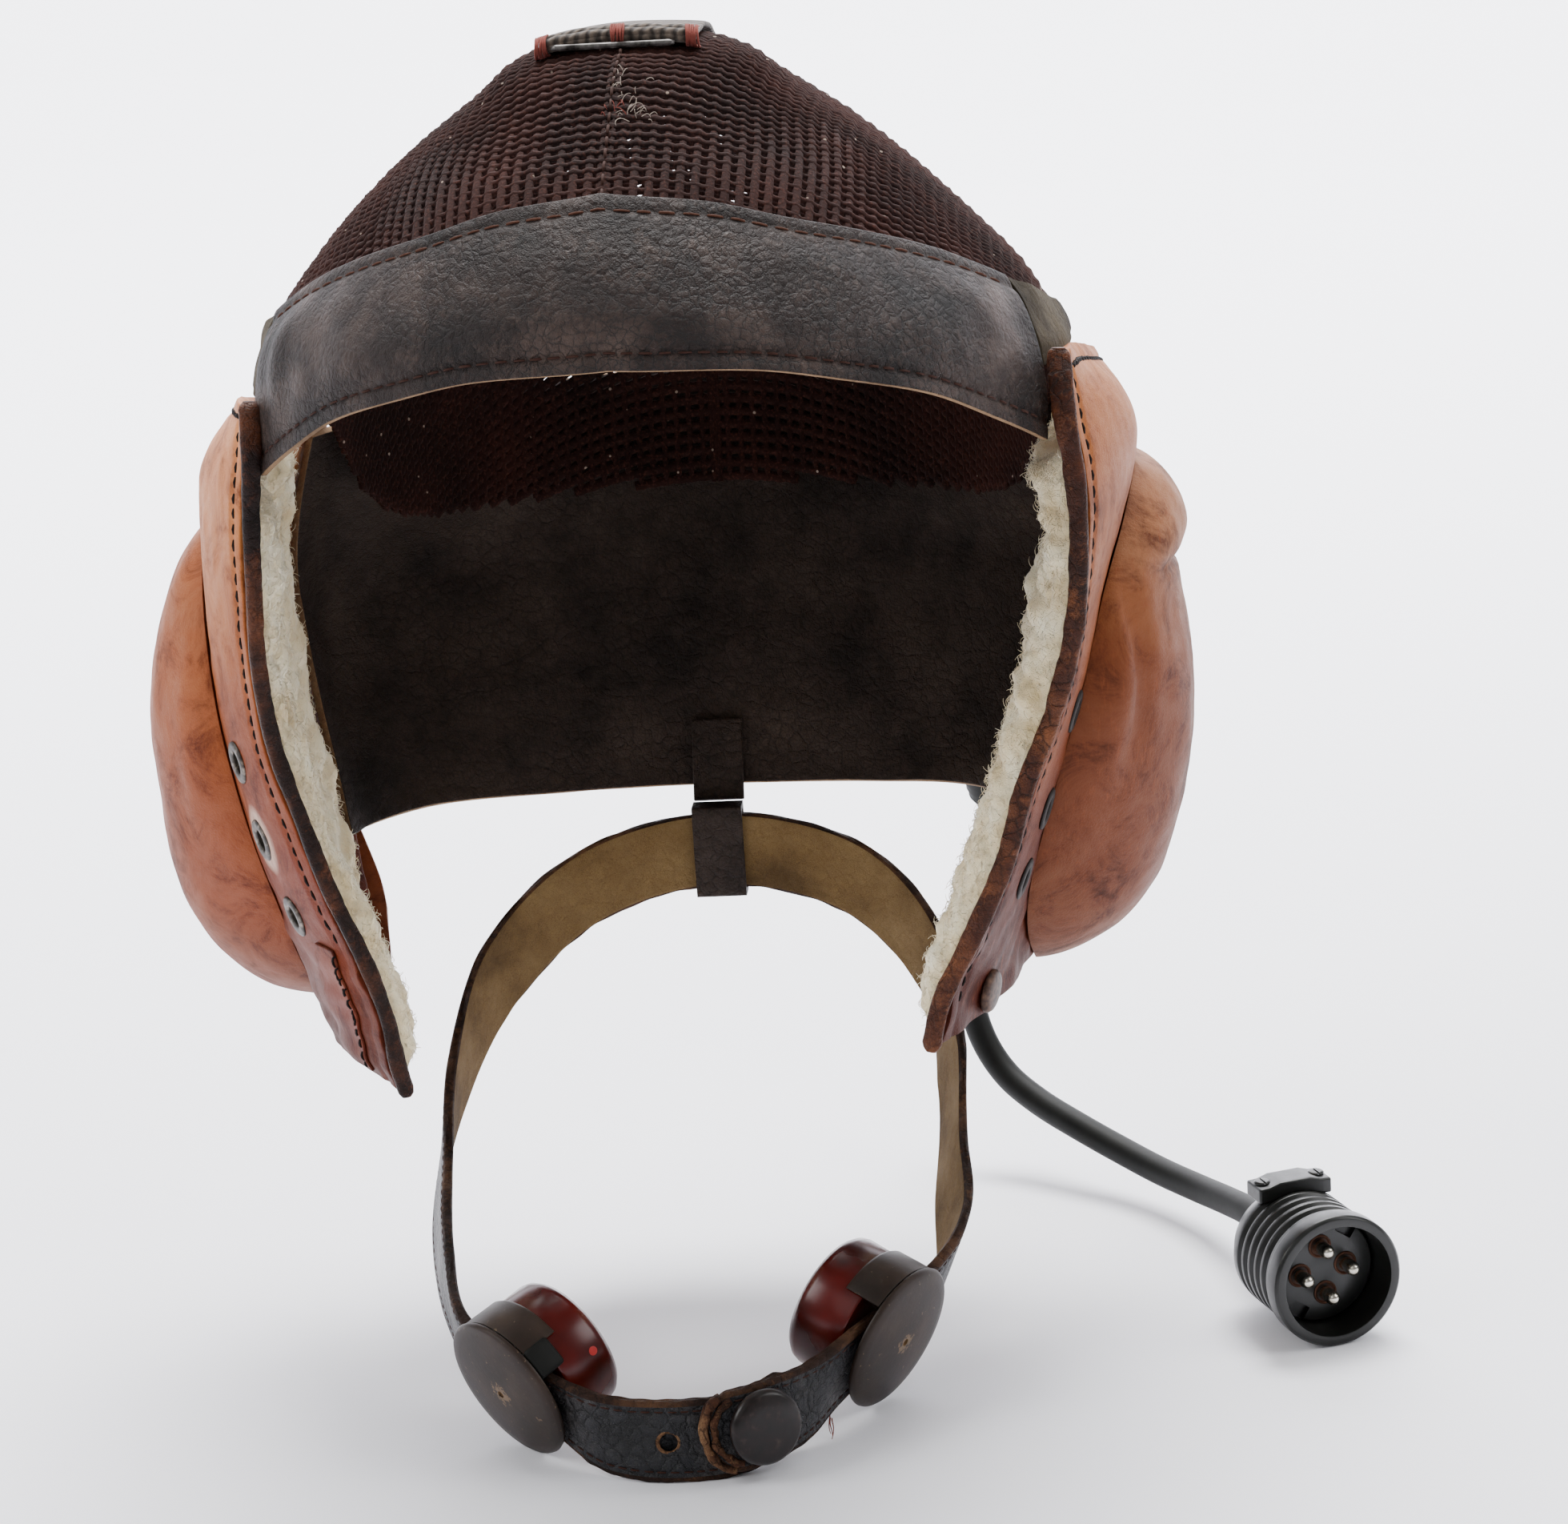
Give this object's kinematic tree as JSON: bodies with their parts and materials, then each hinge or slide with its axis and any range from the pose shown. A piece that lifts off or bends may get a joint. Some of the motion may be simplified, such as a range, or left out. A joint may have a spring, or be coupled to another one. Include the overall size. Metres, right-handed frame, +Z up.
{
  "type": "netted flying helmet",
  "caption": "Netted flying helmet with brown net crown, dark leather forehead band, tan leather ear flaps lined with sheepskin, throat strap with microphones and a short lead with a plug.",
  "frame": {"origin": "inside of the crown's top, where the helmet rests on a head", "axes": "+Z up; the face looks along -Y; +X is the wearer's left"},
  "size_m": [0.2746, 0.203, 0.2993],
  "materials": {
    "net": "dark brown openwork net, matt",
    "tape": "grey-brown woven tape, matt",
    "steel": "dark worn steel",
    "dark_leather": "dark brown cracked leather",
    "suede": "khaki suede, matt",
    "tan_leather": "worn tan leather, soft sheen",
    "binding": "dark brown folded leather edge",
    "sheepskin": "cream sheepskin pile",
    "eyelet_paint": "grey-brown paint, worn",
    "disc_paint": "dark brown paint, worn",
    "bakelite": "dark red moulded plastic, glossy",
    "black_bakelite": "black moulded plastic, satin",
    "rubber": "black rubber, matt",
    "nickel": "nickel plated, satin"
  },
  "bodies": {
    "root": {"crown_net_left": "net", "crown_net_right": "net", "crown_tape": "tape", "crown_wire": "steel", "forehead_band": "dark_leather", "nape_panel": "dark_leather", "cheek_stud": "disc_paint", "throat_strap": "dark_leather", "snap_cap": "disc_paint", "strap_keeper": "dark_leather", "cord_gland": "rubber", "cord": "rubber", "plug_body": "black_bakelite", "plug_insert": "black_bakelite", "plug_saddle": "black_bakelite", "temple_gusset_left": "suede", "ear_panel_left": "tan_leather", "edge_binding_left": "binding", "ear_lining_left": "sheepskin", "ear_cup_left": "tan_leather", "mic_disc_left": "disc_paint", "mic_band_left": "disc_paint", "mic_capsule_left": "bakelite", "eyelet_left_1": "eyelet_paint", "eyelet_left_2": "eyelet_paint", "eyelet_left_3": "eyelet_paint", "temple_gusset_right": "suede", "ear_panel_right": "tan_leather", "edge_binding_right": "binding", "ear_lining_right": "sheepskin", "ear_cup_right": "tan_leather", "mic_disc_right": "disc_paint", "mic_band_right": "disc_paint", "mic_capsule_right": "bakelite", "eyelet_right_1": "eyelet_paint", "eyelet_right_2": "eyelet_paint", "eyelet_right_3": "eyelet_paint", "plug_pin_1": "nickel", "plug_pin_2": "nickel", "plug_pin_3": "nickel", "plug_pin_4": "nickel"}
  },
  "joints": []
}
